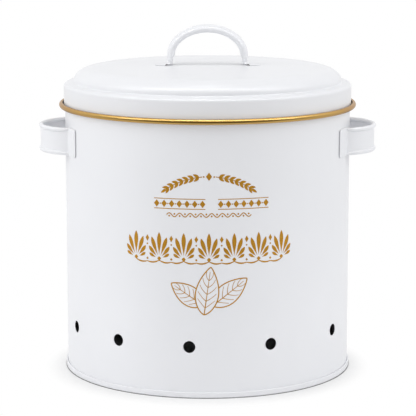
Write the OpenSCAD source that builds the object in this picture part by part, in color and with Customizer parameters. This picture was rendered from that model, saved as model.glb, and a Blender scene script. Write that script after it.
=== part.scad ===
// Round kitchen storage bin for root vegetables, in white coated sheet steel.
// A lift-off lid with a gold trim ring slips over the wall's rolled top edge.
// Millimetres. Origin on the table under the bin's centre, +Z up, front towards -Y.

/* [Body] */
// Outside diameter of the wall
body_d = 240; // [210:1:280]
// Height from the table to the top of the wall's rolled edge
body_h = 241.3; // [232:0.1:300]
// Thickness of the wall's sheet steel
wall_t = 0.6; // [0.5:0.1:0.9]
// Diameter of the roll that stiffens the wall's top edge
roll_d = 3; // [2.6:0.1:4]
// Width of the upright seam strip inside the back of the wall
seam_w = 5; // [3:0.5:8]
// How far the seam strip stands inside the wall
seam_t = 0.6; // [0.4:0.1:1]

/* [Base] */
// Thickness of the base's sheet steel
base_t = 0.6; // [0.5:0.1:0.9]
// Height of the band that folds up round the wall's foot
band_h = 5; // [4.2:0.1:8]
// How far that band stands proud of the wall
band_out = 1.4; // [1.2:0.1:2.5]
// Height of the bottom panel's underside above the table
panel_z = 3.6; // [2:0.1:5]
// Gap in the seam between the base and the wall's foot
seam_gap = 0.05; // [0.03:0.01:0.15]

/* [Vents] */
// Diameter of one vent hole
vent_d = 9.8; // [6:0.1:14]
// Height of the vent holes' centres
vent_z = 42.1; // [25:0.1:80]
// Angle of each front vent from the front, in degrees, positive to the right
front_vents = [-65.6, -37.2, -7, 25.2, 59.9];
// Number of vents spread evenly over the rest of the wall
back_vents = 6; // [3:1:8]

/* [Lid] */
// Thickness of the lid's sheet steel
lid_t = 0.6; // [0.5:0.1:0.9]
// Gap all round between the lid's skirt and the wall
skirt_gap = 0.4; // [0.4:0.1:1.2]
// Gap between the rolled edge and the lid's seat
seat_gap = 0.3; // [0.25:0.05:0.6]
// Height of the skirt, from its lower edge to the seat ledge
skirt_h = 19.6; // [16:0.1:30]
// Outer radius of the corner between skirt and seat ledge
corner_r = 2.8; // [1.6:0.1:3]
// Width of the seat ledge, from the skirt's face to the foot of the shoulder
ledge_w = 8.3; // [6.5:0.1:12]
// How far the ledge climbs towards the shoulder
ledge_rise = 0.6; // [0:0.1:1.5]
// Radius of the crease where the ledge turns up into the shoulder
crease_r = 1.2; // [1:0.1:2]
// Width of the rounded shoulder
shoulder_w = 18; // [10:0.5:24]
// Height of the rounded shoulder above the crease
shoulder_h = 11; // [6:0.5:16]
// How far the lid's top rises from the shoulder to its centre
crown_h = 1.8; // [0.5:0.1:4]

/* [Trim ring] */
// Width of the rolled trim ring, across its section
ring_w = 4; // [3:0.1:5]
// Height of the trim ring's section
ring_h = 4.3; // [4:0.1:6]
// Thickness of the trim ring's sheet
ring_t = 0.5; // [0.4:0.1:0.8]
// How far the ring's section drops below the skirt's lower edge
ring_drop = 0.7; // [0.2:0.1:1.5]
// Width of the open slit between the ring's rolled lip and the skirt
ring_slit = 1.3; // [0.5:0.1:1.6]
// Gap between the ring and the skirt that it is pressed on
ring_gap = 0.05; // [0.03:0.01:0.1]

/* [Side handles] */
// Height of the strap
strap_h = 23; // [16:0.5:34]
// Distance down from the trim ring to the strap's upper edge
strap_drop = 14; // [6:0.1:60]
// Thickness of the strap
strap_t = 0.9; // [0.7:0.1:1.2]
// Diameter of the bead rolled along each edge of the strap
bead_d = 3.6; // [2.6:0.1:4.4]
// How far the handle's beads reach out from the wall
reach = 22.5; // [18:0.5:34]
// Radius of the bow's outer stretch, at the strap's middle
bow_end_r = 42; // [38:1:60]
// Half the angle of that outer stretch, in degrees
bow_end_a = 35; // [20:1:40]
// Radius of the bow's sides, at the strap's middle
bow_side_r = 32; // [28:1:36]
// Radius of the bend from the bow into the flange
bend_r = 4; // [2.5:0.5:6]
// Distance across from one flange's end to the other's
flange_span = 105.2; // [100:0.1:140]
// Radius of the flange's rounded corners
tip_r = 2.4; // [1:0.1:5]
// Gap that the weld and paint leave between flange and wall
weld_gap = 0.05; // [0.03:0.01:0.15]

/* [Lid handle] */
// Width of the arch across its outside
arch_w = 68; // [60:1:90]
// Height of the arch above the lid's centre
arch_h = 33.85; // [28:0.05:50]
// Height above the lid at which the arch is widest
arch_waist = 8.15; // [7:0.05:12]
// Width of the channelled grip
grip_w = 13; // [10:0.5:20]
// Depth of the channel at the crown of the arch
grip_deep = 6.6; // [4:0.1:9]
// Depth of the channel at the arch's waist
waist_deep = 6.5; // [4:0.1:8]
// Depth of the channel where the foot's bend starts
ankle_deep = 4.2; // [2:0.1:5]
// Angle that the arch turns in below its waist, in degrees
ankle_a = 8; // [4:1:14]
// Thickness of the handle's sheet
grip_t = 1; // [0.8:0.1:1.4]
// Distance across from one foot's tip to the other's
foot_span = 88.6; // [84:0.1:120]
// Width of each foot
foot_w = 16; // [12:0.5:24]
// Gap that the weld and paint leave between foot and lid
foot_gap = 0.05; // [0.03:0.01:0.15]

/* [Hidden] */
$fn = 180;

white = [0.94, 0.94, 0.95];
gold = [0.80, 0.60, 0.26];

// Steps in a quarter turn of a profile's small arcs
quarter = 6;

// Radii from the bin's axis
wall_r = body_d / 2;
wall_in = wall_r - wall_t;
band_r = wall_r + band_out;
well_r = wall_in - seam_gap;
skirt_in = wall_r + skirt_gap;
skirt_r = skirt_in + lid_t;
step_r = skirt_r - ledge_w;
top_r = step_r - shoulder_w;

// Heights above the table
foot_z = base_t + seam_gap;
ledge_z = body_h + seat_gap + lid_t;
skirt_z = ledge_z - skirt_h;
crease_z = ledge_z + ledge_rise;
waist_z = crease_z + crease_r;
top_z = waist_z + shoulder_h;
ring_z = skirt_z - ring_drop + ring_h / 2;
strap_z = skirt_z - ring_drop - strap_drop - strap_h / 2;

// Points on an arc round a centre, from one angle to another
function arc(centre, r, from, to, steps) =
    [for (i = [0 : steps])
        let (a = from + (to - from) * i / steps)
        centre + r * [cos(a), sin(a)]];

// Points on an ellipse, moved inwards along its normals by inset
function oval(centre, a, b, inset, from, to, steps) =
    [for (i = [0 : steps])
        let (t = from + (to - from) * i / steps,
             n = [cos(t) / a, sin(t) / b])
        centre + [a * cos(t), b * sin(t)] - inset * n / norm(n)];

// A list in the opposite order
function turned(list) = [for (i = [len(list) - 1 : -1 : 0]) list[i]];

// Height of the lid's crowned top at a distance from its centre
function crown_z(r) = top_z + crown_h * (1 - pow(r / top_r, 2));

// Wall

// Angle of the stretch of wall behind the front vents
back_arc = 360 - (front_vents[len(front_vents) - 1] - front_vents[0]);
back_step = back_arc / (back_vents + 1);
vent_angles = concat(front_vents,
    [for (i = [1 : back_vents]) front_vents[len(front_vents) - 1] + back_step * i]);

// Section of the wall, with its top edge rolled inwards
module wall_section() {
    roll_r = roll_d / 2;
    roll_c = [wall_r - roll_r, body_h - roll_r];
    roll_turn = 290;
    polygon(concat(
        [[wall_in, foot_z], [wall_r, foot_z]],
        arc(roll_c, roll_r, 0, roll_turn, quarter * 3),
        turned(arc(roll_c, roll_r - wall_t, 0, roll_turn, quarter * 3))));
}

module body_wall() {
    seam_a = seam_w / wall_in * 180 / PI;
    color(white)
    union() {
        difference() {
            rotate_extrude() wall_section();
            for (a = vent_angles)
                rotate([0, 0, a]) translate([0, -wall_r, vent_z]) rotate([90, 0, 0])
                    cylinder(d = vent_d, h = 12 * wall_t, center = true);
        }
        rotate([0, 0, 90 - seam_a / 2]) rotate_extrude(angle = seam_a)
            translate([wall_in - seam_t, panel_z + base_t + 2])
                square([seam_t + wall_t / 2, body_h - roll_d - panel_z - base_t - 4]);
    }
}

// Base

// Section of the base: the band outside the wall's foot, the fold under it,
// the upright inside it and the raised bottom panel
module base_section() {
    channel_r = wall_r + seam_gap;
    band_t = band_r - channel_r;
    lip_r = band_t / 2;
    heel_r = base_t;
    polygon(concat(
        [[0, panel_z], [well_r - base_t, panel_z], [well_r - base_t, 0]],
        arc([band_r - heel_r, heel_r], heel_r, -90, 0, quarter),
        arc([channel_r + lip_r, band_h - lip_r], lip_r, 0, 180, 2 * quarter),
        [[channel_r, base_t], [well_r, base_t],
         [well_r, panel_z + base_t], [0, panel_z + base_t]]));
}

module base_pan() {
    color(white) rotate_extrude() base_section();
}

// Lid

// Outline of one face of the lid, from the skirt's edge to the centre of its
// top; inset is 0 for the outer face and the sheet's thickness for the inner one
function lid_face(inset) =
    let (corner_c = [skirt_r - corner_r, ledge_z - corner_r],
         crease_c = [step_r + crease_r, crease_z + crease_r],
         top_steps = 6)
    concat(
        [[skirt_r - inset, skirt_z]],
        arc(corner_c, corner_r - inset, 0, 90, quarter),
        arc(crease_c, crease_r + inset, 270, 180, quarter),
        oval([top_r, waist_z], shoulder_w, shoulder_h, inset, 5, 90, 17),
        [for (i = [1 : top_steps])
            let (r = top_r * (1 - i / top_steps))
            [r, crown_z(r) - inset]]);

module lid_shell() {
    color(white) rotate_extrude()
        polygon(concat(lid_face(0), turned(lid_face(lid_t))));
}

// Trim ring

// The ring's sheet starts against the skirt, passes under, outside and over,
// and stops at a lip that leaves the slit open
module ring_section() {
    a = ring_w / 2;
    b = ring_h / 2;
    centre = [skirt_r + ring_gap + a, ring_z];
    lip_a = 360 + acos((ring_slit - ring_gap - a) / a);
    polygon(concat(
        oval(centre, a, b, 0, 180, lip_a, 5 * quarter),
        turned(oval(centre, a, b, ring_t, 180, lip_a, 5 * quarter))));
}

module trim_ring() {
    color(gold) rotate_extrude() ring_section();
}

// Side handles

// In plan the strap follows tangent arcs: the bow's outer stretch, the bow's
// side, a bend the other way, and the flange along the wall
strap_mid = wall_r + weld_gap + strap_t / 2;
end_c = [wall_r + reach - bead_d / 2 - bow_end_r, 0];
side_c = end_c + (bow_end_r - bow_side_r) * [cos(bow_end_a), sin(bow_end_a)];
bend_far = strap_mid + bend_r;
side_far = norm(side_c);
bend_at = atan2(side_c[1], side_c[0])
    + acos((side_far * side_far + bend_far * bend_far - pow(bow_side_r + bend_r, 2))
           / (2 * side_far * bend_far));
bend_c = bend_far * [cos(bend_at), sin(bend_at)];
side_end = atan2(bend_c[1] - side_c[1], bend_c[0] - side_c[0]);
flange_a = asin(flange_span / 2 / wall_r);

function mix(from, to, u) = from + (to - from) * min(max(u, 0), 1);

// Stations along an arc of the strap, each [x, y, angle of its outward normal,
// radius of the edge beads, half height]; the first station is left out.
// A bead that fades does so over the arc's first three quarters.
function strap_arc(centre, r, from, to, steps, bead_from, bead_to, tall) =
    [for (i = [1 : steps])
        let (u = i / steps, a = mix(from, to, u), p = centre + r * [cos(a), sin(a)])
        [p[0], p[1], a, mix(bead_from, bead_to, 1.3 * u), tall]];

bead_r = bead_d / 2;
edge_r = strap_t / 2;
tip_at = flange_a - tip_r / strap_mid * 180 / PI;
flange_steps = ceil((tip_at - bend_at) / 2);
bow_stations = concat(
    [[end_c[0] + bow_end_r, 0, 0, bead_r, strap_h / 2]],
    strap_arc(end_c, bow_end_r, 0, bow_end_a, 7, bead_r, bead_r, strap_h / 2),
    strap_arc(side_c, bow_side_r, bow_end_a, side_end, 12, bead_r, bead_r, strap_h / 2),
    strap_arc(bend_c, -bend_r, side_end, bend_at, 6, bead_r, edge_r, strap_h / 2),
    strap_arc([0, 0], strap_mid, bend_at, tip_at, flange_steps, edge_r, edge_r, strap_h / 2));

// The flange's end, with its corners rounded
tip_stations = [for (i = [1 : 4])
    let (a = 22.5 * i, t = flange_a - (flange_a - tip_at) * (1 - sin(a)))
    [strap_mid * cos(t), strap_mid * sin(t), t, edge_r, strap_h / 2 - tip_r * (1 - cos(a))]];
half_strap = concat(bow_stations, tip_stations);
strap_stations = concat(
    [for (i = [len(half_strap) - 1 : -1 : 1])
        let (s = half_strap[i]) [s[0], -s[1], -s[2], s[3], s[4]]],
    half_strap);

// Section of the strap at a station, with a bead along each edge
bead_steps = 12;
function strap_section(s) =
    let (r = s[3], c = s[4] - r, open_a = acos(edge_r / r - 0.0001),
         bead = [for (i = [0 : bead_steps])
             let (a = -open_a + (180 + 2 * open_a) * i / bead_steps)
             [r * cos(a), c + r * sin(a)]],
         whole = concat(bead, [for (p = bead) -p]),
         n = [cos(s[2]), sin(s[2])])
    [for (p = whole) [s[0] + p[0] * n[0], s[1] + p[0] * n[1], strap_z + p[1]]];

// Skin of a sweep: its stations' sections, joined up and closed at both ends.
// Both halves of a section hold the same number of points.
module sweep(sections) {
    ring = len(sections[0]);
    e = (len(sections) - 1) * ring;
    sides = [for (p = [0 : ring : e - ring], i = [0 : ring - 1])
        let (j = (i + 1) % ring, q = p + ring)
        each [[p + i, q + i, q + j], [p + i, q + j, p + j]]];
    // Each end is a row of four-sided cells, split so that no triangle lies on one line
    start = [for (i = [0 : ring / 2 - 2])
        let (m = ring - 1 - i)
        each i < ring / 4 ? [[i, i + 1, m], [i + 1, m - 1, m]]
                          : [[i, i + 1, m - 1], [i, m - 1, m]]];
    finish = [for (t = start) [e + t[0], e + t[2], e + t[1]]];
    polyhedron([for (s = sections) each s], concat(sides, start, finish));
}

module side_handle() {
    sweep([for (s = strap_stations) strap_section(s)]);
}

module side_handle_right() {
    color(white) side_handle();
}

module side_handle_left() {
    color(white) mirror([1, 0, 0]) side_handle();
}

// Lid handle

// The handle is one strip: a channelled arch that flattens and turns out into
// two feet. Its outer face follows a path in the upright plane of the handle:
// half an ellipse, a bend, and a straight foot that lies along the lid's crown.
arch_a = arch_w / 2;
arch_b = arch_h - arch_waist;
waist_at = crown_z(0) + arch_waist;
ankle = [arch_a * cos(ankle_a), waist_at - arch_b * sin(ankle_a)];
ankle_heading = atan2(-arch_b * cos(ankle_a), -arch_a * sin(ankle_a));

// Line of the foot's top face, through the foot's middle
foot_tip = foot_span / 2;
foot_mid = (ankle[0] + foot_tip) / 2;
foot_fall = 2 * crown_h * foot_mid / pow(top_r, 2);
foot_heading = -atan(foot_fall);
foot_top = crown_z(foot_mid) + foot_gap + grip_t;

// Radius of the bend that meets both the leg and the foot
foot_r = (foot_top - foot_fall * (ankle[0] - foot_mid) - ankle[1])
    / (cos(ankle_heading) - cos(foot_heading)
       + foot_fall * (sin(foot_heading) - sin(ankle_heading)));
bend_mid = ankle + foot_r * [-sin(ankle_heading), cos(ankle_heading)];
foot_start = bend_mid + foot_r * [sin(foot_heading), -cos(foot_heading)];

// Stations from the arch's crown to the right foot's tip, each
// [x, z, heading in degrees, depth of the channel, half width]
arch_steps = 22;
bend_steps = 6;
foot_steps = 6;
arch_stations = [for (i = [0 : arch_steps])
    let (t = mix(90, -ankle_a, i / arch_steps))
    [arch_a * cos(t), waist_at + arch_b * sin(t),
     atan2(-arch_b * cos(t), arch_a * sin(t)),
     t > 0 ? mix(waist_deep, grip_deep, sin(t)) : mix(waist_deep, ankle_deep, -t / ankle_a),
     grip_w / 2]];
bend_stations = [for (i = [1 : bend_steps])
    let (u = i / bend_steps,
         h = mix(ankle_heading, foot_heading, u),
         p = bend_mid + foot_r * [sin(h), -cos(h)])
    [p[0], p[1], h, mix(ankle_deep, grip_t, 1.4 * u), mix(grip_w, foot_w, u) / 2]];
foot_stations = [for (i = [1 : foot_steps])
    let (x = mix(foot_start[0], foot_tip, sin(90 * i / foot_steps)),
         past = max(0, (x - foot_mid) / (foot_tip - foot_mid)))
    [x, foot_start[1] - foot_fall * (x - foot_start[0]), foot_heading, grip_t,
     foot_w / 2 * sqrt(1 - 0.8 * past * past)]];
half = concat(arch_stations, bend_stations, foot_stations);
stations = concat(
    [for (i = [len(half) - 1 : -1 : 1])
        [-half[i][0], half[i][1], -half[i][2], half[i][3], half[i][4]]],
    half);

// Channel section at a station: over its outer face, then back under it
channel_steps = 10;
function channel(s) =
    let (x = s[0], z = s[1], h = s[2], deep = s[3], w = s[4],
         over = [for (i = [0 : channel_steps])
             let (a = mix(-90, 90, i / channel_steps))
             [w * sin(a), deep * (1 - cos(a))]],
         under = [for (i = [channel_steps : -1 : 0])
             let (a = mix(-90, 90, i / channel_steps))
             [(w - grip_t) * sin(a), grip_t + (deep - grip_t) * (1 - cos(a))]])
    [for (p = concat(over, under)) [x + p[1] * sin(h), p[0], z - p[1] * cos(h)]];

module lid_handle() {
    color(white) sweep([for (s = stations) channel(s)]);
}

body_wall();
base_pan();
side_handle_left();
side_handle_right();
lid_shell();
trim_ring();
lid_handle();
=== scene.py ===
from math import acos, asin, atan, atan2, cos, degrees, exp, hypot, pi, radians, sin, sqrt

import bmesh
import bpy
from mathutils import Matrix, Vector


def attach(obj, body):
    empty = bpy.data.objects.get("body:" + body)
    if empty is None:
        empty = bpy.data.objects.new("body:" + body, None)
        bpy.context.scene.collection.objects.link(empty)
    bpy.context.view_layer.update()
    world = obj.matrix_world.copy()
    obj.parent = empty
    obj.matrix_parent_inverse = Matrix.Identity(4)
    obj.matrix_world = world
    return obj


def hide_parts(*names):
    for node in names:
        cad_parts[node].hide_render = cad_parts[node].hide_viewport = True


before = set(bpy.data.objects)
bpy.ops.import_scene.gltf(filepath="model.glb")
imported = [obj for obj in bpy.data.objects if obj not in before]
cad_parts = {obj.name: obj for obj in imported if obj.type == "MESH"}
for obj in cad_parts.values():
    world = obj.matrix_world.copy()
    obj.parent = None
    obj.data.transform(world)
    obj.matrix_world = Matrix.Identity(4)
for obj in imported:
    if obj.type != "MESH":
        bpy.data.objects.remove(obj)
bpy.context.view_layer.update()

MM = 0.001      # the pieces below are written in millimetres
scene = bpy.context.scene


# ------------------------------------------------------------- node helpers

def put(node, values):
    """Set inputs of a node by name."""
    for key, value in values.items():
        node.inputs[key].default_value = value


def noise(t, coord, scale, detail=2.0, rough=0.5, stretch=None):
    n = t.nodes.new("ShaderNodeTexNoise")
    put(n, {"Scale": scale, "Detail": detail, "Roughness": rough})
    if stretch:
        mapping = t.nodes.new("ShaderNodeMapping")
        mapping.inputs["Scale"].default_value = stretch
        t.links.new(coord, mapping.inputs["Vector"])
        coord = mapping.outputs["Vector"]
    t.links.new(coord, n.inputs["Vector"])
    return n.outputs["Fac"]


def ramp(t, fac, stops):
    r = t.nodes.new("ShaderNodeValToRGB")
    for element, (position, colour) in zip(r.color_ramp.elements, stops):
        element.position = position
        element.color = (*colour, 1)
    t.links.new(fac, r.inputs["Fac"])
    return r.outputs["Color"]


def spread(t, fac, low, high):
    m = t.nodes.new("ShaderNodeMapRange")
    put(m, {"To Min": low, "To Max": high})
    t.links.new(fac, m.inputs["Value"])
    return m.outputs["Result"]


def smooth(t, value, start, end, low, high):
    """From low to high while the value goes from start to end, with soft turns."""
    m = t.nodes.new("ShaderNodeMapRange")
    m.interpolation_type = "SMOOTHSTEP"
    put(m, {"From Min": start, "From Max": end, "To Min": low, "To Max": high})
    t.links.new(value, m.inputs["Value"])
    return m.outputs["Result"]


def bump(t, height, distance, normal=None):
    b = t.nodes.new("ShaderNodeBump")
    b.inputs["Distance"].default_value = distance
    t.links.new(height, b.inputs["Height"])
    if normal:
        t.links.new(normal, b.inputs["Normal"])
    return b.outputs["Normal"]


def math_node(t, kind, a, b):
    """Two outputs, or an output and a number, joined by a Math node."""
    n = t.nodes.new("ShaderNodeMath")
    n.operation = kind
    for socket, x in zip(n.inputs, (a, b)):
        if isinstance(x, (int, float)):
            socket.default_value = x
        else:
            t.links.new(x, socket)
    return n.outputs[0]


def vector_node(t, kind, vector, other):
    """DISTANCE or DOT_PRODUCT of an output and a fixed vector."""
    n = t.nodes.new("ShaderNodeVectorMath")
    n.operation = kind
    n.inputs[1].default_value = other
    t.links.new(vector, n.inputs[0])
    return n.outputs["Value"]


def mixed(t, share, first, second):
    n = t.nodes.new("ShaderNodeMixShader")
    for socket, x in zip(n.inputs, (share, first, second)):
        t.links.new(x, socket)
    return n.outputs[0]


# ---------------------------------------------------------------- materials

PEEL_DEPTH, GRAIN_DEPTH = 0.00001, 0.000002     # relief of the powder coat, metres
DRAWN_DEPTH, INK_DEPTH = 0.0000006, 0.00001     # relief of the plating and of the ink
# the lid's tone is a darker copy of the body's coat: painted shade on the lid and its handle
COAT_TONE, LID_SHADED_TONE = (0.826, 0.834, 0.862), (0.79, 0.798, 0.824)
SHADE_TONE = (0.60, 0.605, 0.62)                 # painted shade: a greyer copy of the coat inside the bin and under the handle
COAT_ROUGH, PLATE_ROUGH = 0.4, 0.36
GOLD_TONE, GOLD_EDGE = (0.58, 0.35, 0.066), (0.44, 0.30, 0.17, 1)
# painted shade: near-black tones for the ring's deep slit and the gap under the handle's lips
SHADE_DEEP, SHADE_PALE = (0.035, 0.03, 0.027), (0.07, 0.06, 0.05)
INK_TONE = (0.56, 0.275, 0.02)


def new_material(name):
    m = bpy.data.materials.new(name)
    m.use_nodes = True
    t = m.node_tree
    t.nodes.clear()
    return m, t, t.nodes.new("ShaderNodeOutputMaterial")


def principled(name):
    """A material with one Principled shader, and the coordinates for its noises."""
    m, t, out = new_material(name)
    p = t.nodes.new("ShaderNodeBsdfPrincipled")
    t.links.new(p.outputs["BSDF"], out.inputs["Surface"])
    return m, t, p, t.nodes.new("ShaderNodeTexCoord").outputs["Object"]


def scaled(tone, factors):
    return [min(1, c * f) for c, f in zip(tone, factors)]


def coat_material(name, tone):
    """Satin powder coat: faint clouding, uneven gloss, orange peel and a fine grain."""
    m, t, p, co = principled(name)
    cloud = noise(t, co, 9, 3, 0.55)
    deep, pale = scaled(tone, (0.985,) * 3), scaled(tone, (1.012,) * 3)
    t.links.new(ramp(t, cloud, [(0.3, deep), (0.7, pale)]), p.inputs["Base Color"])
    smear = noise(t, co, 46, 3, 0.6)
    dull, bright = COAT_ROUGH + 0.045, COAT_ROUGH - 0.035
    t.links.new(spread(t, smear, bright, dull), p.inputs["Roughness"])
    peel = bump(t, noise(t, co, 620, 1.5, 0.45), PEEL_DEPTH)
    t.links.new(bump(t, noise(t, co, 2300, 1, 0.4), GRAIN_DEPTH, peel), p.inputs["Normal"])
    put(p, {"IOR": 1.5, "Coat Weight": 0.12, "Coat Roughness": 0.12})
    return m


def plated_material(name, tone):
    """Gold-coloured plating on rolled strip: fine drawing lines round the ring."""
    m, t, p, co = principled(name)
    cloud = noise(t, co, 14, 3, 0.6)
    deep = scaled(tone, (0.90, 0.86, 0.78))
    t.links.new(ramp(t, cloud, [(0.3, deep), (0.72, tone)]), p.inputs["Base Color"])
    lines = noise(t, co, 60, 2, 0.6, (1, 1, 60))
    dull, bright = PLATE_ROUGH + 0.07, PLATE_ROUGH - 0.05
    t.links.new(spread(t, lines, bright, dull), p.inputs["Roughness"])
    t.links.new(bump(t, lines, DRAWN_DEPTH), p.inputs["Normal"])
    put(p, {"Metallic": 1.0, "Specular Tint": GOLD_EDGE,
            "Coat Weight": 0.65, "Coat IOR": 1.85, "Coat Roughness": 0.25})
    return m


def dark_shade_material(name):
    """Painted shade for narrow slits and gaps: near-black, with dull patches."""
    m, t, p, co = principled(name)
    dull = noise(t, co, 120, 3, 0.6)
    t.links.new(ramp(t, dull, [(0.3, SHADE_DEEP), (0.7, SHADE_PALE)]), p.inputs["Base Color"])
    t.links.new(spread(t, dull, 0.5, 0.7), p.inputs["Roughness"])
    put(p, {"Metallic": 0.6})
    return m


def ink_material(name, tone):
    """Screen-printed gold ink: slightly metallic, with uneven cover at a fine scale."""
    m, t, p, co = principled(name)
    cover = noise(t, co, 700, 3, 0.6)
    deep, pale = scaled(tone, (0.86, 0.82, 0.74)), scaled(tone, (1.08, 1.10, 1.16))
    t.links.new(ramp(t, cover, [(0.32, deep), (0.7, pale)]), p.inputs["Base Color"])
    t.links.new(spread(t, cover, 0.34, 0.5), p.inputs["Roughness"])
    t.links.new(bump(t, cover, INK_DEPTH), p.inputs["Normal"])
    put(p, {"Metallic": 0.3, "Specular IOR Level": 0.3})
    return m


WHITE = coat_material("white_powder_coat", COAT_TONE)
# painted shade: the lid and its handle take the darker copy of the coat
LID_SHADED_WHITE = coat_material("white_powder_coat_lid_painted_shade", LID_SHADED_TONE)
# painted shade: greyer copies of the coat for the handle's underside and the bin's inside
UNDER_SHADE = coat_material("white_coat_painted_shade_under", SHADE_TONE)
INSIDE_SHADE = coat_material("white_coat_painted_shade_inside", SHADE_TONE)
GOLD = plated_material("gold_plating", GOLD_TONE)
DARK_SHADE = dark_shade_material("painted_shade_dark")       # painted shade in the ring's slit and at the handle's cut lips
INK = ink_material("gold_ink", INK_TONE)

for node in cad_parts.values():
    node.data.materials.clear()
    node.data.materials.append(GOLD if node.name == "trim_ring" else WHITE)


# ------------------------------------------------------------- mesh helpers

def add_piece(name, verts, faces, mat, body, node=None, sharp=34):
    """A piece from points in mm. Edges that turn by more than sharp degrees stay crisp."""
    me = bpy.data.meshes.new(name)
    me.from_pydata([Vector(v) * MM for v in verts], [], faces)
    me.update()
    bm = bmesh.new()
    bm.from_mesh(me)
    bmesh.ops.recalc_face_normals(bm, faces=bm.faces)
    bm.to_mesh(me)
    bm.free()
    me.polygons.foreach_set("use_smooth", [True] * len(me.polygons))
    me.set_sharp_from_angle(angle=radians(sharp))
    ob = bpy.data.objects.new(name, me)
    scene.collection.objects.link(ob)
    me.materials.append(mat)
    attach(ob, body)
    if node:
        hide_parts(node)
    return ob


def ease(u):
    return u * u * (3 - 2 * u)


def arc(cx, cy, r, a0, a1, n):
    return [(cx + r * cos(radians(a0 + (a1 - a0) * i / n)),
             cy + r * sin(radians(a0 + (a1 - a0) * i / n))) for i in range(n + 1)]


def oval(cx, cy, a, b, inset, t0, t1, n):
    """Points of an ellipse's arc, moved inwards along its normal by the inset."""
    pts = []
    for i in range(n + 1):
        t = radians(t0 + (t1 - t0) * i / n)
        nx, ny = cos(t) / a, sin(t) / b
        k = inset / hypot(nx, ny)
        pts.append((cx + a * cos(t) - k * nx, cy + b * sin(t) - k * ny))
    return pts


def run(p, q, n):
    """Points from p to q without q."""
    return [(p[0] + (q[0] - p[0]) * i / n, p[1] + (q[1] - p[1]) * i / n) for i in range(n)]


def round_end(p, q, n):
    """Half a turn from p to q, without either."""
    cx, cy = (p[0] + q[0]) / 2, (p[1] + q[1]) / 2
    ox, oy = p[0] - cx, p[1] - cy
    return [(cx + ox * cos(pi * i / n) - oy * sin(pi * i / n),
             cy + oy * cos(pi * i / n) + ox * sin(pi * i / n)) for i in range(1, n)]


def without_repeats(loop):
    def apart(p, q):
        return hypot(p[0] - q[0], p[1] - q[1]) > 1e-4

    out = []
    for p in loop:
        if not out or apart(p, out[-1]):
            out.append(p)
    return out if apart(out[0], out[-1]) else out[:-1]


def bridge(faces, p, q):
    """Cells between two closed rings of vertices."""
    for i in range(len(p)):
        j = (i + 1) % len(p)
        faces.append([p[i], p[j], q[j], q[i]])


def lathe(loop, n=256):
    """Closed section (r, z) turned about the axis. A point on the axis stays one vertex."""
    verts, rows = [], []
    for r, z in without_repeats(loop):
        first = len(verts)
        if r < 1e-6:
            rows.append([first] * n)
            verts.append((0, 0, z))
        else:
            rows.append(list(range(first, first + n)))
            verts += [on_wall(2 * pi * j / n, r, z) for j in range(n)]
    faces = []
    for a, b in zip(rows, rows[1:] + rows[:1]):
        for j in range(n):
            k = (j + 1) % n
            face = list(dict.fromkeys((a[j], a[k], b[k], b[j])))
            if len(face) > 2:
                faces.append(face)
    return verts, faces


def sweep(sections, edge):
    """Skin over closed sections of equal length, whose point number edge lies in the middle
    of one narrow edge. Each end is closed by a row of cells from that edge to the other."""
    m, verts, faces = len(sections[0]), [], []
    for s in sections:
        verts += s
    for first in range(0, len(verts) - m, m):
        bridge(faces, list(range(first, first + m)), list(range(first + m, first + 2 * m)))
    for first in (0, len(verts) - m):
        left = [first + (edge - k) % m for k in range(m // 2)]
        right = [first + (edge + 1 + k) % m for k in range(m // 2)]
        for k in range(m // 2 - 1):
            faces.append([left[k], right[k], right[k + 1], left[k + 1]])
    return verts, faces


def on_wall(a, r, z):
    """The point at angle a from the front, towards the right handle."""
    return (r * sin(a), -r * cos(a), z)


# --------------------------------------------------------------------- wall

WALL_R, WALL_T = 120.0, 0.6
WALL_IN = WALL_R - WALL_T
BODY_H, ROLL_R, ROLL_TURN = 241.3, 1.5, 288
WALL_FOOT, FOOT_RIM = 0.65, 0.13        # the sheet's lower edge, and the height of its rim
VENT_R, VENT_Z, VENT_RIM = 4.9, 42.1, 0.16
FRONT_VENTS = [-65.6, -37.2, -7, 25.2, 59.9]
BACK_VENTS = 6
BACK_STEP = (360 - (FRONT_VENTS[-1] - FRONT_VENTS[0])) / (BACK_VENTS + 1)
VENTS = FRONT_VENTS + [FRONT_VENTS[-1] + BACK_STEP * i for i in range(1, BACK_VENTS + 1)]
PATCH, PATCH_N = 7.5, 10                # half size and cells of the square round a vent
COLUMN_STEP = radians(1.5)
SEAM_AT = pi                            # the lock seam is at the back
SEAM_HALF, SEAM_RISE, SEAM_ENDS = 2.9, 0.55, (8, 232)           # the flat strip inside
GROOVE_AT, GROOVE_W, GROOVE_DEEP, GROOVE_ENDS = 2.6, 0.42, 0.26, (6, 236)      # outside
SEAM_COLUMNS = (0.7, 1.5, 2, 2.3, 2.6, 2.9, 3.2, 3.7, 4.4)


def faded(z, ends):
    """1 between two heights, 0 at them and beyond."""
    return max(0, min(1, (z - ends[0]) / 3, (ends[1] - z) / 3))


def seamed(a, r, z):
    """The radius with the lock seam: two grooves outside, a flat strip inside."""
    s = abs(a % (2 * pi) - SEAM_AT) * WALL_R
    if r < WALL_IN + 0.05:
        return r - SEAM_RISE * min(1, max(0, (SEAM_HALF - s) / 0.5)) * faded(z, SEAM_ENDS)
    if r > WALL_R - 0.05:
        groove = exp(-((s - GROOVE_AT) / GROOVE_W) ** 2)
        return r - GROOVE_DEEP * groove * faded(z, GROOVE_ENDS)
    return r


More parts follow.
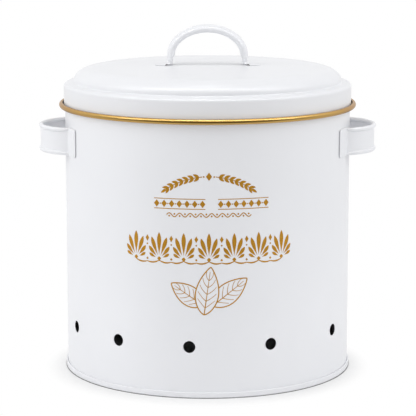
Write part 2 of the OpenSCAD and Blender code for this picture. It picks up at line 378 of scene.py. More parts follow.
def wall_columns():
    """The columns' angles, and each vent's angle with the number of its first column."""
    half = PATCH / WALL_R
    vents = sorted(radians(v) % (2 * pi) for v in VENTS)
    cols = []       # (angle, the vent that starts here, whether the seam's own may replace it)
    for v, after in zip(vents, vents[1:] + [vents[0] + 2 * pi]):
        cols += [(v - half + 2 * half * k / PATCH_N, None if k else v, False)
                 for k in range(PATCH_N)]
        gap = after - v - 2 * half
        n = max(6, round(gap / COLUMN_STEP))
        cols += [(v + half + gap * k / n, None, k > 0) for k in range(n)]
    seam = SEAM_COLUMNS[-1] / WALL_R + 0.004
    kept = [(a % (2 * pi), v) for a, v, free in cols if not (free and abs(a - SEAM_AT) < seam)]
    kept += [(SEAM_AT + side * s / WALL_R, None) for s in SEAM_COLUMNS for side in (-1, 1)]
    kept.append((SEAM_AT, None))
    kept.sort(key=lambda col: col[0])
    return [a for a, _ in kept], {v: k for k, (_, v) in enumerate(kept) if v is not None}


def wall_rows():
    """The wall's closed section: up the outside, round the rolled edge, down the inside.
    Also the first row of the vents' patches on either face."""
    z_low, z_high = VENT_Z - PATCH, VENT_Z + PATCH
    steps = [z_low + 2 * PATCH * k / PATCH_N for k in range(PATCH_N + 1)]
    rim, roll_z = WALL_FOOT + FOOT_RIM, BODY_H - ROLL_R
    rows = [(WALL_R - 0.12, WALL_FOOT), (WALL_R, rim)]
    rows += run((WALL_R, 5), (WALL_R, z_low), 3)
    out_first = len(rows)
    rows += [(WALL_R, z) for z in steps]
    rows += run((WALL_R, z_high + 12), (WALL_R, roll_z), 14)
    rows += arc(WALL_R - ROLL_R, roll_z, ROLL_R, 0, ROLL_TURN, 28)
    rows += arc(WALL_R - ROLL_R, roll_z, ROLL_R - WALL_T, ROLL_TURN, 0, 24)
    rows += run((WALL_IN, roll_z - 4), (WALL_IN, z_high + 12), 12) + [(WALL_IN, z_high + 12)]
    in_first = len(rows)
    rows += [(WALL_IN, z) for z in reversed(steps)]
    rows += run((WALL_IN, z_low - 4), (WALL_IN, rim), 3) + [(WALL_IN + 0.12, WALL_FOOT)]
    return rows, out_first, in_first


def punch(verts, faces, edge, vent, radius, side):
    """From the border of a vent's patch to its hole and over the hole's rounded rim.
    edge lists (vertex, x, y) along the border; returns the last ring of vertices."""
    steps = [(0.45, 1.15, 0), (0.8, 0.55, 0), (1, VENT_RIM, 0)]
    steps += [(1, VENT_RIM - VENT_RIM * sin(radians(t)), VENT_RIM * (1 - cos(radians(t))))
              for t in (30, 60, 90)]
    ring = [vertex for vertex, _, _ in edge]
    for u, off, deep in steps:
        depth = radius + side * deep
        fresh = []
        for _, x, y in edge:
            reach = (VENT_R + off) / hypot(x, y)
            px = x * (1 - u) + x * reach * u
            py = y * (1 - u) + y * reach * u
            fresh.append(len(verts))
            a = vent + (px / WALL_R) * (1 - u) + asin(px / depth) * u
            verts.append(on_wall(a, depth, VENT_Z + py))
        bridge(faces, ring, fresh)
        ring = fresh
    return ring


def make_wall():
    cols, starts = wall_columns()
    rows, out_first, in_first = wall_rows()
    n_cols, n_rows, n = len(cols), len(rows), PATCH_N
    verts = [on_wall(a, seamed(a, r, z), z) for r, z in rows for a in cols]

    def vertex(i, j):
        return (i % n_rows) * n_cols + (j % n_cols)

    cut = {(first + i, (s + j) % n_cols) for first in (out_first, in_first)
           for s in starts.values() for i in range(n) for j in range(n)}
    faces = [[vertex(i, j), vertex(i, j + 1), vertex(i + 1, j + 1), vertex(i + 1, j)]
             for i in range(n_rows) for j in range(n_cols) if (i, j) not in cut]

    border = [(0, j) for j in range(n)] + [(i, n) for i in range(n)]
    border += [(n, j) for j in range(n, 0, -1)] + [(i, 0) for i in range(n, 0, -1)]
    for vent, s in starts.items():
        rims = []
        for first, rising, radius, side in ((out_first, True, WALL_R, -1),
                                            (in_first, False, WALL_IN, 1)):
            edge = [(vertex(first + (i if rising else n - i), s + j),
                     -PATCH + 2 * PATCH * j / n, -PATCH + 2 * PATCH * i / n)
                    for i, j in border]
            rims.append(punch(verts, faces, edge, vent, radius, side))
        bridge(faces, *rims)
    return verts, faces


def shade_inside(piece, radius, low):
    """Painted shade inside: a greyer copy of the coat on faces above low that look inwards or
    up.
    """
    piece.data.materials.append(INSIDE_SHADE)
    for poly in piece.data.polygons:
        c, n = poly.center / MM, poly.normal
        looks_in = n.z > 0.9 or c.x * n.x + c.y * n.y < 0
        if hypot(c.x, c.y) < radius and c.z > low and looks_in:
            poly.material_index = 1


v, f = make_wall()
sheet = add_piece("wall_sheet", v, f, WHITE, "bin", "body_wall", 38)
shade_inside(sheet, WALL_R - 0.35, 0.9)


# --------------------------------------------------------------------- base

SEAM_GAP, BASE_T = 0.05, 0.6
BAND_R, BAND_H, BAND_FOOT = WALL_R + 1.4, 5.0, 1.1      # the fold round the wall's foot
CHANNEL_R, WELL_R = WALL_R + SEAM_GAP, WALL_IN - SEAM_GAP
WELL_IN, WELL_FOOT = WELL_R - BASE_T, 0.25
PANEL_Z, PANEL_BEND = 3.6, 1.2


def base_loop():
    lip = (BAND_R - CHANNEL_R) / 2
    top = PANEL_Z + BASE_T
    pts = [(0, PANEL_Z)]
    pts += arc(WELL_IN - PANEL_BEND, PANEL_Z - PANEL_BEND, PANEL_BEND, 90, 0, 6)
    pts += [(WELL_IN, WELL_FOOT)]
    pts += arc(WELL_IN + WELL_FOOT, WELL_FOOT, WELL_FOOT, 180, 270, 4)
    pts += arc(BAND_R - BAND_FOOT, BAND_FOOT, BAND_FOOT, -90, 0, 10)
    pts += [(BAND_R, 2.2), (BAND_R, 3.2)]
    pts += arc(CHANNEL_R + lip, BAND_H - lip, lip, 0, 180, 16)
    pts += [(CHANNEL_R, BASE_T), (WELL_R, BASE_T)]
    pts += [(WELL_R, top - 1.0), (WELL_R - 0.3, top - 0.3), (WELL_R - 1.0, top), (0, top)]
    return pts


v, f = lathe(base_loop())
pan = add_piece("base_sheet", v, f, WHITE, "bin", "base_pan")
shade_inside(pan, WELL_R - 0.35, 3.8)


# ---------------------------------------------------------------------- lid

LID_T, SKIRT_GAP, SEAT_GAP, SKIRT_H = 0.6, 0.4, 0.3, 19.6
CORNER_R, CREASE_R, LEDGE_W, LEDGE_RISE = 2.8, 1.2, 8.3, 0.6
SHOULDER_W, SHOULDER_H, CROWN_H, CROWN_N = 18.0, 11.0, 1.8, 24
SKIRT_R = WALL_R + SKIRT_GAP + LID_T
LEDGE_Z = BODY_H + SEAT_GAP + LID_T
SKIRT_Z = LEDGE_Z - SKIRT_H
STEP_R = SKIRT_R - LEDGE_W
TOP_R = STEP_R - SHOULDER_W
CREASE_Z = LEDGE_Z + LEDGE_RISE
WAIST_Z = CREASE_Z + CREASE_R
TOP_Z = WAIST_Z + SHOULDER_H
SKIRT_EDGE = 0.15       # bevel of the skirt's lower edge


def crown_z(r):
    return TOP_Z + CROWN_H * (1 - (r / TOP_R) ** 2)


def lid_face(inset):
    """One face of the lid's section, from the skirt's lower edge to the axis."""
    pts = run((SKIRT_R - inset, SKIRT_Z + SKIRT_EDGE), (SKIRT_R - inset, LEDGE_Z - CORNER_R), 6)
    pts += arc(SKIRT_R - CORNER_R, LEDGE_Z - CORNER_R, CORNER_R - inset, 0, 90, 14)
    pts += run((SKIRT_R - CORNER_R - 1.5, LEDGE_Z + 0.17 - inset),
               (STEP_R + CREASE_R, CREASE_Z - inset), 2)
    pts += arc(STEP_R + CREASE_R, WAIST_Z, CREASE_R + inset, 270, 180, 10)
    pts += oval(TOP_R, WAIST_Z, SHOULDER_W, SHOULDER_H, inset, 1, 90, 40)
    radii = [TOP_R * (1 - i / CROWN_N) for i in range(1, CROWN_N + 1)]
    return pts + [(r, crown_z(r) - inset) for r in radii]


loop = lid_face(0) + lid_face(LID_T)[::-1]
loop += [(SKIRT_R - LID_T + SKIRT_EDGE, SKIRT_Z), (SKIRT_R - SKIRT_EDGE, SKIRT_Z)]
v, f = lathe(loop)
add_piece("lid_sheet", v, f, LID_SHADED_WHITE, "lid", "lid_shell")


# ---------------------------------------------------------------- trim ring

RING_W, RING_H, RING_T, RING_GAP, RING_SLIT, RING_DROP = 4.0, 4.3, 0.5, 0.05, 1.3, 0.7
RING_X, RING_Z = SKIRT_R + RING_GAP + RING_W / 2, SKIRT_Z - RING_DROP + RING_H / 2
RING_N = 360


def ring_loop():
    """The rolled strip's section, open at its upper lip by the slit; also the number of its
    first point that belongs to the inner face."""
    a, b = RING_W / 2, RING_H / 2
    lip = 360 + degrees(acos((RING_SLIT - RING_GAP - a) / a))
    out = oval(RING_X, RING_Z, a, b, 0, 180, lip, 72)
    ins = oval(RING_X, RING_Z, a, b, RING_T, lip, 180, 60)
    return out + round_end(out[-1], ins[0], 6) + ins, len(out) + 3


section, inside_from = ring_loop()
v, f = lathe(section, RING_N)
ring = add_piece("rolled_ring", v, f, GOLD, "lid", "trim_ring", 50)
# painted shade: the ring's inner face is near-black, for its dark slit
ring.data.materials.append(DARK_SHADE)
for poly in ring.data.polygons:
    if inside_from <= poly.index // RING_N < len(section) - 1:
        poly.material_index = 1


# ------------------------------------------------------------- side handles

STRAP_H, STRAP_Z, STRAP_T, BEAD_R, BEAD_N = 23.0, 196.4, 0.9, 1.8, 22
REACH, END_R, END_A, SIDE_R, BEND_R, FLANGE_SPAN = 22.5, 42.0, 35.0, 32.0, 4.0, 105.2
WELD_GAP = 0.05
STRAP_MID = WALL_R + WELD_GAP + STRAP_T / 2
FADE_A = 9                      # the bead starts to fade this far before the bend
FLANGE_N, TIP_R, TIP_THIN = 26, 2.6, 0.55
FLANGE_FLARE = 0.35             # the flange is this much taller, for want of its beads
LIFT, LIFT_FROM = 0.35, 4.5     # the flange's free end springs off the wall
SPOT_IN, SPOT_Z, SPOT_R, SPOT_DEEP = 3.1, 5.2, 2.1, 0.16        # weld marks; degrees, mm


def strap_path():
    """Half of the strap in plan, from the middle of the bow to the flange's tip: stations
    (x, y, normal's angle, bead radius, half height, share of thickness); the flange's ends."""
    ex = WALL_R + REACH - BEAD_R - END_R
    sx, sy = ex + (END_R - SIDE_R) * cos(radians(END_A)), (END_R - SIDE_R) * sin(radians(END_A))
    far, side_far = STRAP_MID + BEND_R, hypot(sx, sy)
    at = degrees(atan2(sy, sx)) + degrees(acos(
        (side_far ** 2 + far ** 2 - (SIDE_R + BEND_R) ** 2) / (2 * side_far * far)))
    bx, by = far * cos(radians(at)), far * sin(radians(at))
    side_end = degrees(atan2(by - sy, bx - sx))
    flange = degrees(asin(FLANGE_SPAN / 2 / WALL_R))
    h = STRAP_H / 2
    fading = BEAD_R * 0.8
    stations = [[ex + END_R, 0, 0, BEAD_R, h, 1.0]]

    def add(cx, cy, r, a0, a1, n, bead0, bead1, tall0, tall1):
        for i in range(1, n + 1):
            a = a0 + (a1 - a0) * i / n
            e = ease(i / n)
            stations.append([cx + r * cos(radians(a)), cy + r * sin(radians(a)), a,
                             bead0 + (bead1 - bead0) * e, tall0 + (tall1 - tall0) * e, 1.0])

    add(ex, 0, END_R, 0, END_A, 24, BEAD_R, BEAD_R, h, h)
    add(sx, sy, SIDE_R, END_A, side_end - FADE_A, 28, BEAD_R, BEAD_R, h, h)
    add(sx, sy, SIDE_R, side_end - FADE_A, side_end, 6, BEAD_R, fading, h, h + 0.06)
    add(bx, by, -BEND_R, side_end, at, 14, fading, STRAP_T / 2, h + 0.06, h + FLANGE_FLARE)
    length = radians(flange - at) * STRAP_MID
    for i in range(1, FLANGE_N + 1):
        u = sin(pi / 2 * i / FLANGE_N)
        a, left = radians(at + (flange - at) * u), length - length * u
        into = max(0, TIP_R - left)
        tall = h + FLANGE_FLARE - (TIP_R - sqrt(max(0, TIP_R ** 2 - into ** 2)))
        thin = 1 if left > 0.3 else TIP_THIN + (1 - TIP_THIN) * sqrt(left / 0.3)
        mid = STRAP_MID + LIFT * ease(max(0, 1 - left / LIFT_FROM))
        stations.append([mid * cos(a), mid * sin(a), degrees(a),
                         STRAP_T / 2, max(tall, h - 1.9), thin])
    return stations, at, flange


def strap_section(station, spot):
    """The strap's closed section; spot is the distance along the wall to its weld marks."""
    x, y, a, r, tall, thin = station
    c, h = tall - r, STRAP_T / 2
    open_a = degrees(acos(min(1, h / r - 1e-6)))
    flat = c - r * sin(radians(open_a))
    bead = arc(0, c, r, -open_a, 180 + open_a, BEAD_N)
    inner = [(-h, flat - 2 * flat * i / 26) for i in range(1, 26)]
    half = bead + inner
    section = []
    for out, z in half + [(-p[0], -p[1]) for p in half]:
        out *= thin
        if out > 0.2 and spot is not None:
            for at in (SPOT_Z, -SPOT_Z):
                near = (spot ** 2 + (z - at) ** 2) / SPOT_R ** 2
                out -= SPOT_DEEP * exp(-near ** 2)
        section.append((x + out * cos(radians(a)), y + out * sin(radians(a)), STRAP_Z + z))
    return section


def make_strap(sign):
    half, at, flange = strap_path()
    path = [[p[0], -p[1], -p[2]] + p[3:] for p in half[:0:-1]] + half
    sections = []
    for p in path:
        on_flange = abs(p[2]) > at and p[3] <= STRAP_T / 2 + 1e-6
        spot = radians(abs(p[2]) - flange + SPOT_IN) * STRAP_MID if on_flange else None
        sections.append([(sign * x, y, z) for x, y, z in strap_section(p, spot)])
    return sweep(sections, BEAD_N // 2)


for side, sign in (("right", 1), ("left", -1)):
    v, f = make_strap(sign)
    add_piece("strap_" + side, v, f, WHITE, "bin", "side_handle_" + side, 46)


# --------------------------------------------------------------- lid handle

ARCH_A, ARCH_H, ARCH_WAIST = 34.0, 33.85, 8.15
GRIP_W, GRIP_T, FOOT_W, FOOT_TIP = 13.0, 1.0, 16.0, 44.3
DEEP_TOP, DEEP_WAIST, DEEP_ANKLE, ANKLE_A = 6.6, 6.5, 4.2, 8.0
FOOT_T, FOOT_BEND, FOOT_GAP = 0.5, 2.6, 0.05
LIP_GAP = 0.8                           # the lips are cut level, this far above the lid
LIP_TURN, LIP_ROLL, LIP_ROLL_DEEP = 88, 34, 3   # the lips roll under where the channel is deep
ARCH_N, LEG_N, BEND_N, FOOT_N = 60, 6, 18, 20   # stations of each stretch of the path
FACE_N, LIP_N = 30, 6                           # cells across a face and round a lip


def grip_path():
    """Half of the handle from the top of its arch to the tip of its foot: stations
    (x, z, heading, depth of the channel, half width, thickness)."""
    b, mid_z = ARCH_H - ARCH_WAIST, crown_z(0) + ARCH_WAIST
    stations = []
    for i in range(ARCH_N + 1):
        t = 90 - (90 + ANKLE_A) * i / ARCH_N
        deep = (DEEP_WAIST + (DEEP_TOP - DEEP_WAIST) * sin(radians(t)) if t > 0
                else DEEP_WAIST + (DEEP_ANKLE - DEEP_WAIST) * (-t / ANKLE_A))
        across, up = cos(radians(t)), sin(radians(t))
        stations.append([ARCH_A * across, mid_z + b * up,
                         degrees(atan2(-b * across, ARCH_A * up)), deep, GRIP_W / 2, GRIP_T])
    ax, az, h0 = stations[-1][:3]
    foot_mid = (ax + FOOT_TIP) / 2
    fall = 2 * CROWN_H * foot_mid / TOP_R ** 2          # slope of the lid under the foot
    h1 = -degrees(atan(fall))
    top = crown_z(foot_mid) + FOOT_GAP + FOOT_T
    r, s0, c0 = FOOT_BEND, sin(radians(h0)), cos(radians(h0))
    s1, c1 = sin(radians(h1)), cos(radians(h1))
    foot_z = top - fall * (ax + r * (s1 - s0) - foot_mid)
    down = (foot_z - az - r * (c0 - c1)) / (s0 + fall * c0)     # length of the straight leg
    for i in range(1, LEG_N + 1):
        stations.append([ax + down * c0 * i / LEG_N, az + down * s0 * i / LEG_N, h0,
                         DEEP_ANKLE, GRIP_W / 2, GRIP_T])
    ax, az = stations[-1][:2]
    bx, bz = ax - r * s0, az + r * c0
    for i in range(1, BEND_N + 1):
        h, w = h0 + (h1 - h0) * i / BEND_N, ease(i / BEND_N)
        thick = GRIP_T + (FOOT_T - GRIP_T) * w
        cut = (r + FOOT_T / 2 - LIP_GAP) / max(0.05, sin(radians(90 - h))) - r + thick / 2
        stations.append([bx + r * sin(radians(h)), bz - r * cos(radians(h)), h,
                         max(thick, min(DEEP_ANKLE, cut)),
                         (GRIP_W + (FOOT_W - GRIP_W) * w) / 2, thick])
    fx, fz = stations[-1][:2]
    for i in range(1, FOOT_N + 1):
        x = fx + (FOOT_TIP - fx) * sin(pi / 2 * i / FOOT_N)
        past = max(0, (x - foot_mid) / (FOOT_TIP - foot_mid))
        stations.append([x, fz - fall * (x - fx), h1, FOOT_T,
                         FOOT_W / 2 * sqrt(1 - 0.8 * past ** 2), FOOT_T])
    return stations


def grip_section(station):
    """The channel's closed section: outer face, one lip, inner face, the other lip."""
    x, z, h, deep, w, thick = station
    half = thick / 2
    turn = LIP_TURN + LIP_ROLL * min(1, (deep - thick) / LIP_ROLL_DEEP)
    rise = (deep - thick) / (1 - cos(radians(turn)))
    over, under = [], []
    for i in range(FACE_N + 1):
        a = radians(turn * (2 * i / FACE_N - 1))
        y, d = (w - half) * sin(a), half + rise * (1 - cos(a))
        ty, td = (w - half) * cos(a), rise * sin(a)
        k = half / hypot(ty, td)
        over.append((y + td * k, d - ty * k))
        under.append((y - td * k, d + ty * k))
    loop = over + round_end(over[-1], under[-1], LIP_N)
    loop += under[::-1] + round_end(under[0], over[0], LIP_N)
    sh, ch = sin(radians(h)), cos(radians(h))
    return [(x + d * sh, y, z - d * ch) for y, d in loop]


half = grip_path()
path = [[-p[0], p[1], -p[2]] + p[3:] for p in half[:0:-1]] + half
sections = [grip_section(p) for p in path]
v, f = sweep(sections, FACE_N + LIP_N // 2)
grip = add_piece("grip_strip", v, f, LID_SHADED_WHITE, "lid", "lid_handle", 46)
# painted shade: the greyer coat under the channel, and near-black on the cut lips at the bend
grip.data.materials.append(UNDER_SHADE)
grip.data.materials.append(DARK_SHADE)
leg_end = ARCH_N + LEG_N
for poly in grip.data.polygons:
    station, at = divmod(poly.index, len(sections[0]))
    past = abs(station + 0.5 - len(path) // 2)      # cells from the top of the arch
    face, cell = divmod(at, FACE_N + LIP_N)
    if cell >= FACE_N and leg_end + 3 < past < leg_end + 16:
        poly.material_index = 2                     # painted shade: the cut lips' edges at the bend, for the dark gap under them
    elif face == 1 and cell < FACE_N and past < leg_end + 14:
        poly.material_index = 1


# -------------------------------------------------- printed ornament, front

INK_UP, INK_DOWN = 0.09, 0.1        # the ink's top over the wall, and its hidden side
PRINT_S = 1.2                       # the print sits this far to the right of the front
HAIR = 0.03                         # half width of a stroke's finest end
ink_verts, ink_faces = [], []


def on_print(s, z, lift):
    """The point s along the wall from the print's middle."""
    return on_wall((s + PRINT_S) / WALL_R, WALL_R + lift, z)


def ribbon(path, widths, closed=False):
    """A thin inked stroke along (s, z) points; widths are half widths at each point."""
    n = len(path)
    rows = []
    for i, (p, width) in enumerate(zip(path, widths)):
        a = path[(i - 1) % n] if (closed or i) else path[0]
        b = path[(i + 1) % n] if (closed or i < n - 1) else path[-1]
        ds, dz = b[0] - a[0], b[1] - a[1]
        k = max(width, HAIR) / (hypot(ds, dz) or 1)
        left, right = (p[0] - dz * k, p[1] + ds * k), (p[0] + dz * k, p[1] - ds * k)
        first = len(ink_verts)
        ink_verts.extend(on_print(*q, INK_UP) for q in (left, p, right))
        ink_verts.extend(on_print(*q, -INK_DOWN) for q in (right, left))
        rows.append(list(range(first, first + 5)))
    for a, b in zip(rows, rows[1:] + (rows[:1] if closed else [])):
        bridge(ink_faces, a, b)
    if not closed:
        ink_faces.extend([rows[0][::-1], rows[-1]])


def leaf(s, z, heading, length, width, bend=0.0, n=12, blunt=0.75):
    """A filled leaf or petal from a point, along a heading in degrees."""
    path, widths = [], []
    a = radians(heading)
    for i in range(n + 1):
        path.append((s, z))
        widths.append(width / 2 * sin(pi * (i / n) ** blunt) ** 0.8 if 0 < i < n else HAIR)
        s += length / n * cos(a)
        z += length / n * sin(a)
        a += radians(bend) / n
    ribbon(path, widths)


def dot(s, z, r, n=10):
    ribbon([(s - r + 2 * r * i / n, z) for i in range(n + 1)],
           [r * sin(pi * i / n) for i in range(n + 1)])


def lozenge(s, z, w, h):
    ribbon([(s - w / 2, z), (s, z), (s + w / 2, z)], [HAIR, h / 2, HAIR])


# Arched garland of paired leaves with a lozenge at its crown
GARLAND_TOP, GARLAND_R = 180.4, 60.8
GARLAND_START, GARLAND_END = 5, 34.5        # degrees to either side of its crown
LEAF_START, LEAF_STEP, LEAF_TILT, LEAVES = 7.6, 4.1, 40, 7


def on_garland(deg):
    a = radians(deg)
    return GARLAND_R * sin(a), GARLAND_TOP - GARLAND_R + GARLAND_R * cos(a)


for side in (-1, 1):
    stem = [GARLAND_START + (GARLAND_END - GARLAND_START) * i / 40 for i in range(41)]
    ribbon([on_garland(side * deg) for deg in stem], [0.34] * 41)
    for i in range(LEAVES):
        deg = side * (LEAF_START + i * LEAF_STEP)
        along = -deg if side > 0 else 180 - deg
        for tilt in (LEAF_TILT * side, -LEAF_TILT * side):
            leaf(*on_garland(deg), along + tilt, 5.3, 2.3, -0.45 * tilt)
    outwards = -GARLAND_END if side > 0 else 180 + GARLAND_END
    leaf(*on_garland(side * GARLAND_END), outwards, 5.2, 2.2)
lozenge(0, GARLAND_TOP, 4.8, 6.6)
for side in (-1, 1):
    dot(side * 4.1, GARLAND_TOP - 0.2, 0.75)

# Border of lozenges and dots between two lines, in two runs
BORDER_Z, BORDER_HALF, BORDER_STEP, BORDER_N = 158.3, 4.0, 6.2, 7
BORDER_RUNS, LINE_BEFORE, LINE_LONG = (-42.3, 9.3), 2.2, 41.6
for first in BORDER_RUNS:
    for i in range(BORDER_N):
        s = first + i * BORDER_STEP
        lozenge(s, BORDER_Z, 4.5, 6.0)
        if i < BORDER_N - 1:
            dot(s + BORDER_STEP / 2, BORDER_Z, 0.6)
    for z in (BORDER_Z + BORDER_HALF, BORDER_Z - BORDER_HALF):
        line = [(first - LINE_BEFORE + LINE_LONG * i / 24, z) for i in range(25)]
        ribbon(line, [0.3] * 25)

# Fine wave with a dot in each hollow
WAVE_Z, WAVE_HALF, WAVE_HIGH, WAVES, WAVE_N = 149.4, 34, 1.5, 8, 24
count = WAVES * WAVE_N
ribbon([(-WAVE_HALF + 2 * WAVE_HALF * i / count, WAVE_Z + WAVE_HIGH * sin(2 * pi * i / WAVE_N))
        for i in range(count + 1)], [0.4] * (count + 1))
for i in range(2 * WAVES):
    dot(WAVE_HALF * ((i + 0.5) / WAVES - 1), WAVE_Z + (0.8 if i % 2 else -0.8), 0.8)

# Frieze: palmettes on one running scroll, a lozenge and dots between each pair
FRIEZE_Z, PALMETTES, PALM_STEP, PALM_START = 113.4, 7, 20.2, 3.0
GEM_Z, UPPER_DOT_Z, LOWER_DOT_Z, SCROLL_Z = 129.8, 125.0, 113.2, 110.9
PETALS = ((0, 18.4, 3.5), (23, 15.6, 3.2), (46, 10.2, 2.8), (70, 6.4, 2.3))   # tilt, long, wide
for k in range(PALMETTES):
    middle = PALM_STEP * (k - (PALMETTES - 1) / 2)
    for tilt, long, wide in PETALS:
        for side in ((-1, 1) if tilt else (1,)):
            a = radians(90 - side * tilt)
            leaf(middle + PALM_START * cos(a), FRIEZE_Z + PALM_START * sin(a),
                 90 - side * tilt, long, wide, side * tilt * 0.32, 18, 1.6)
    dot(middle, FRIEZE_Z + 0.1, 1.6, 14)
    if k == PALMETTES - 1:
        continue
    between = middle + PALM_STEP / 2
    lozenge(between, GEM_Z, 3.0, 5.4)
    dot(between, UPPER_DOT_Z, 0.75, 12)
    dot(between, LOWER_DOT_Z, 0.95, 12)
    for side in (-1, 1):
        bow = [(between + side * PALM_STEP / 2 * u, SCROLL_Z - 0.9 * sin(pi * u) + 1.1 * u ** 2)
               for u in (i / 30 for i in range(31))]
        ribbon(bow, [0.32 + 0.3 * sin(pi * i / 30) for i in range(31)])

# Sprig of three outlined, veined leaves: middle, heading in degrees, length, width
SPRIG = ((-1.2, 88.2, 82, 39, 18.5), (-17.4, 85.2, 146, 31, 16), (16.8, 87.0, 38, 35, 17))
VEINS, BLADE_N = 5, 56


def placed(cx, cz, heading, x, y):
    a = radians(heading)
    return cx + x * cos(a) - y * sin(a), cz + x * sin(a) + y * cos(a)


def blade_half(width, u):
    return width / 2 * sin(pi * u ** 0.82) ** 0.78


def blade(cx, cz, heading, length, width):
    """A leaf's outline, up one side and back down the other."""
    pts, n = [], BLADE_N
    for side, steps in ((1, range(n + 1)), (-1, range(n - 1, 0, -1))):
        for i in steps:
            u = (1 - cos(pi * i / n)) / 2
            w = blade_half(width, u) if 0 < i < n else 0
            pts.append(placed(cx, cz, heading, length * (u - 0.5), side * w))
    return pts


def inside(p, poly):
    hit = False
    for (x0, y0), (x1, y1) in zip(poly, poly[-1:] + poly[:-1]):
        if (y0 > p[1]) != (y1 > p[1]) and p[0] < (x1 - x0) * (p[1] - y0) / (y1 - y0) + x0:
            hit = not hit
    return hit


def stroke(path, widths, hidden, closed=False):
    """A ribbon that stops where the leaf in front hides it."""
    if hidden is None:
        ribbon(path, widths, closed)
        return
    part = []
    points = list(zip(path, widths))
    for point in points + (points[:1] if closed else []) + [None]:
        if point and not inside(point[0], hidden):
            part.append(point)
            continue
        if len(part) > 2:
            ribbon([p for p, _ in part], [w for _, w in part])
        part = []


def veins(cx, cz, heading, length, width, hidden):
    stroke([placed(cx, cz, heading, length * (-0.5 + 0.9 * u / 40), 0) for u in range(41)],
           [0.42 - 0.24 * u / 40 for u in range(41)], hidden)
    for i in range(VEINS):
        for side in (-1, 1):
            pts = []
            for v in (j / 12 for j in range(13)):
                u = 0.14 + 0.145 * i + 0.13 * v + 0.05 * v * v
                w = blade_half(width, u) * 0.8 * v ** 0.92
                pts.append(placed(cx, cz, heading, length * (u - 0.5), side * w))
            stroke(pts, [0.27 - 0.09 * j / 12 for j in range(13)], hidden)


front = blade(*SPRIG[0])
for one in SPRIG:
    hidden = None if one is SPRIG[0] else front
    line = blade(*one)
    stroke(line, [0.46] * len(line), hidden, True)
    veins(*one, hidden)

add_piece("front_ornament", ink_verts, ink_faces, INK, "bin", None, 60)


# --------------------------------------------------- floor and world, metres

FLOOR_HALF, FLOOR_NEAR, FLOOR_FAR = 0.45, -0.35, 6.0
CONTACT_FROM, CONTACT_TO, CONTACT_DARK = 0.1208, 0.1226, 0.12   # painted contact shadow: the floor's colour is darkened right under the turned foot
SHADOW_FROM, SHADOW_TO, SHADOW_SHARE = 0.113, 0.140, 0.33       # where white takes over
SHADOW_MIDDLE = (0, -0.01, 0)


def make_floor():
    """Pale floor that keeps the bin's shadow near it and is white further off, for camera
    and mirrored rays alone. A painted contact shadow darkens it right under the foot."""
    m, t, out = new_material("pale_floor")
    co = t.nodes.new("ShaderNodeTexCoord").outputs["Object"]
    tone = ramp(t, noise(t, co, 3, 2), [(0.3, (0.80, 0.80, 0.805)), (0.7, (0.82, 0.82, 0.825))])
    # painted contact shadow: darkens the floor's colour and cuts its white share under the foot
    contact_shadow = smooth(t, vector_node(t, "DISTANCE", co, (0, 0, 0)),
                   CONTACT_FROM, CONTACT_TO, CONTACT_DARK, 1.0)
    dark = t.nodes.new("ShaderNodeVectorMath")
    dark.operation = "SCALE"
    t.links.new(tone, dark.inputs[0])
    t.links.new(contact_shadow, dark.inputs["Scale"])
    lit = t.nodes.new("ShaderNodeBsdfDiffuse")
    t.links.new(dark.outputs["Vector"], lit.inputs["Color"])
    glow = t.nodes.new("ShaderNodeEmission")
    put(glow, {"Strength": 1.0, "Color": (1, 1, 1, 1)})
    path = t.nodes.new("ShaderNodeLightPath").outputs
    seen = math_node(t, "MAXIMUM", path["Is Camera Ray"], path["Is Glossy Ray"])
    far = smooth(t, vector_node(t, "DISTANCE", co, SHADOW_MIDDLE),
                 SHADOW_FROM, SHADOW_TO, SHADOW_SHARE, 1.0)
    share = math_node(t, "MULTIPLY", math_node(t, "MULTIPLY", seen, far), contact_shadow)
    t.links.new(mixed(t, share, lit.outputs[0], glow.outputs[0]), out.inputs["Surface"])
    me = bpy.data.meshes.new("floor")
    me.from_pydata([(-FLOOR_HALF, FLOOR_NEAR, 0), (FLOOR_HALF, FLOOR_NEAR, 0),
                    (FLOOR_HALF, FLOOR_FAR, 0), (-FLOOR_HALF, FLOOR_FAR, 0)], [],
                   [[0, 1, 2, 3]])
    ob = bpy.data.objects.new("floor", me)
    scene.collection.objects.link(ob)
    me.materials.append(m)


make_floor()


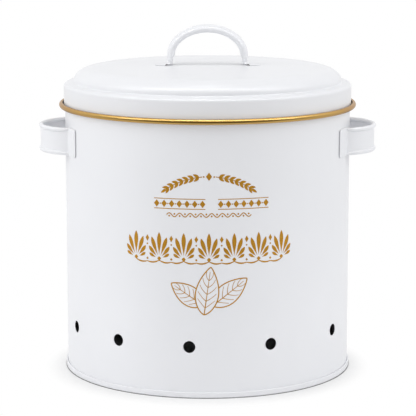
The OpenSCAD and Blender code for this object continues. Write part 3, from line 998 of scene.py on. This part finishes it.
def make_world(even, front, room, below):
    """Soft light from all round, and more of it from ahead. A mirror sees a white room that
    is darker ahead (room) and under the bin (below); the camera sees white."""
    world = bpy.data.worlds.new("studio")
    scene.world = world
    world.use_nodes = True
    t = world.node_tree
    t.nodes.clear()
    out = t.nodes.new("ShaderNodeOutputWorld")
    to = t.nodes.new("ShaderNodeTexCoord").outputs["Generated"]
    ahead, down = Vector((0, -1, 0.18)).normalized(), Vector((0, 0, -1))

    def patch(aim, wide, narrow, low, high):
        """low beyond wide degrees from the aim, high within narrow degrees of it."""
        return smooth(t, vector_node(t, "DOT_PRODUCT", to, aim),
                      cos(radians(wide)), cos(radians(narrow)), low, high)

    def white(strength):
        n = t.nodes.new("ShaderNodeBackground")
        n.inputs["Color"].default_value = (1, 1, 1, 1)
        if isinstance(strength, float):
            n.inputs["Strength"].default_value = strength
        else:
            t.links.new(strength, n.inputs["Strength"])
        return n.outputs[0]

    lit = white(patch(ahead, 95, 30, even, even + front))
    shown = white(math_node(t, "MULTIPLY", patch(ahead, 115, 30, 1.0, room),
                            patch(down, 88, 55, 1.0, below)))
    path = t.nodes.new("ShaderNodeLightPath").outputs
    mirror = math_node(t, "MAXIMUM", path["Is Glossy Ray"], path["Is Transmission Ray"])
    both = mixed(t, mirror, lit, shown)
    t.links.new(mixed(t, path["Is Camera Ray"], both, white(1.0)), out.inputs["Surface"])


make_world(0.58, 0.24, 0.07, 0.6)


# --------------------------------------------------------- lamps and camera

def lamp(name, where, aim, size, size_y, power, shine=True, soft=True):
    """An area lamp. Without shine nothing mirrors it; without soft it only gives shine."""
    d = bpy.data.lights.new(name, "AREA")
    d.shape = "RECTANGLE"
    d.size, d.size_y, d.energy = size, size_y, power
    ob = bpy.data.objects.new(name, d)
    ob.location = where
    ob.rotation_euler = (Vector(aim) - Vector(where)).to_track_quat("-Z", "Y").to_euler()
    ob.visible_diffuse = soft
    ob.visible_glossy = shine
    scene.collection.objects.link(ob)


lamp("left_box", (-1.6, -0.28, 0.55), (0, 0, 0.14), 1.0, 1.6, 7.0, shine=False)
lamp("right_box", (1.6, -0.28, 0.55), (0, 0, 0.14), 1.0, 1.6, 4.1, shine=False)
lamp("left_up", (-1.3, -0.3, 1.3), (0, 0, 0.14), 1.0, 1.0, 3.5)
lamp("right_up", (1.3, -0.3, 1.3), (0, 0, 0.14), 1.0, 1.0, 4.1)
lamp("overhead", (0, 0.0, 1.7), (0, 0, 0.1), 0.4, 0.4, 2.25)
lamp("front_top", (0, -0.9, 1.8), (0, 0, 0.12), 1.6, 0.8, 2.3)
lamp("strip", (0, -0.8, 1.75), (0, 0, 0.2), 5.2, 0.35, 48, soft=False)

# The camera that was fitted to the photograph
PHOTO_PX, FOCAL_PX, SENSOR = 416, 1934.627, 36
CAMERA_AT, CAMERA_TILT = (0.0004, -1.624615, 0.425024), 0.1773

cam_data = bpy.data.cameras.new("camera")
cam_data.sensor_width = SENSOR
cam_data.lens = FOCAL_PX * SENSOR / PHOTO_PX
cam = bpy.data.objects.new("camera", cam_data)
cam.location = CAMERA_AT
cam.rotation_euler = (pi / 2 - CAMERA_TILT, 0, 0)
scene.collection.objects.link(cam)
scene.camera = cam

scene.view_settings.view_transform = "Standard"
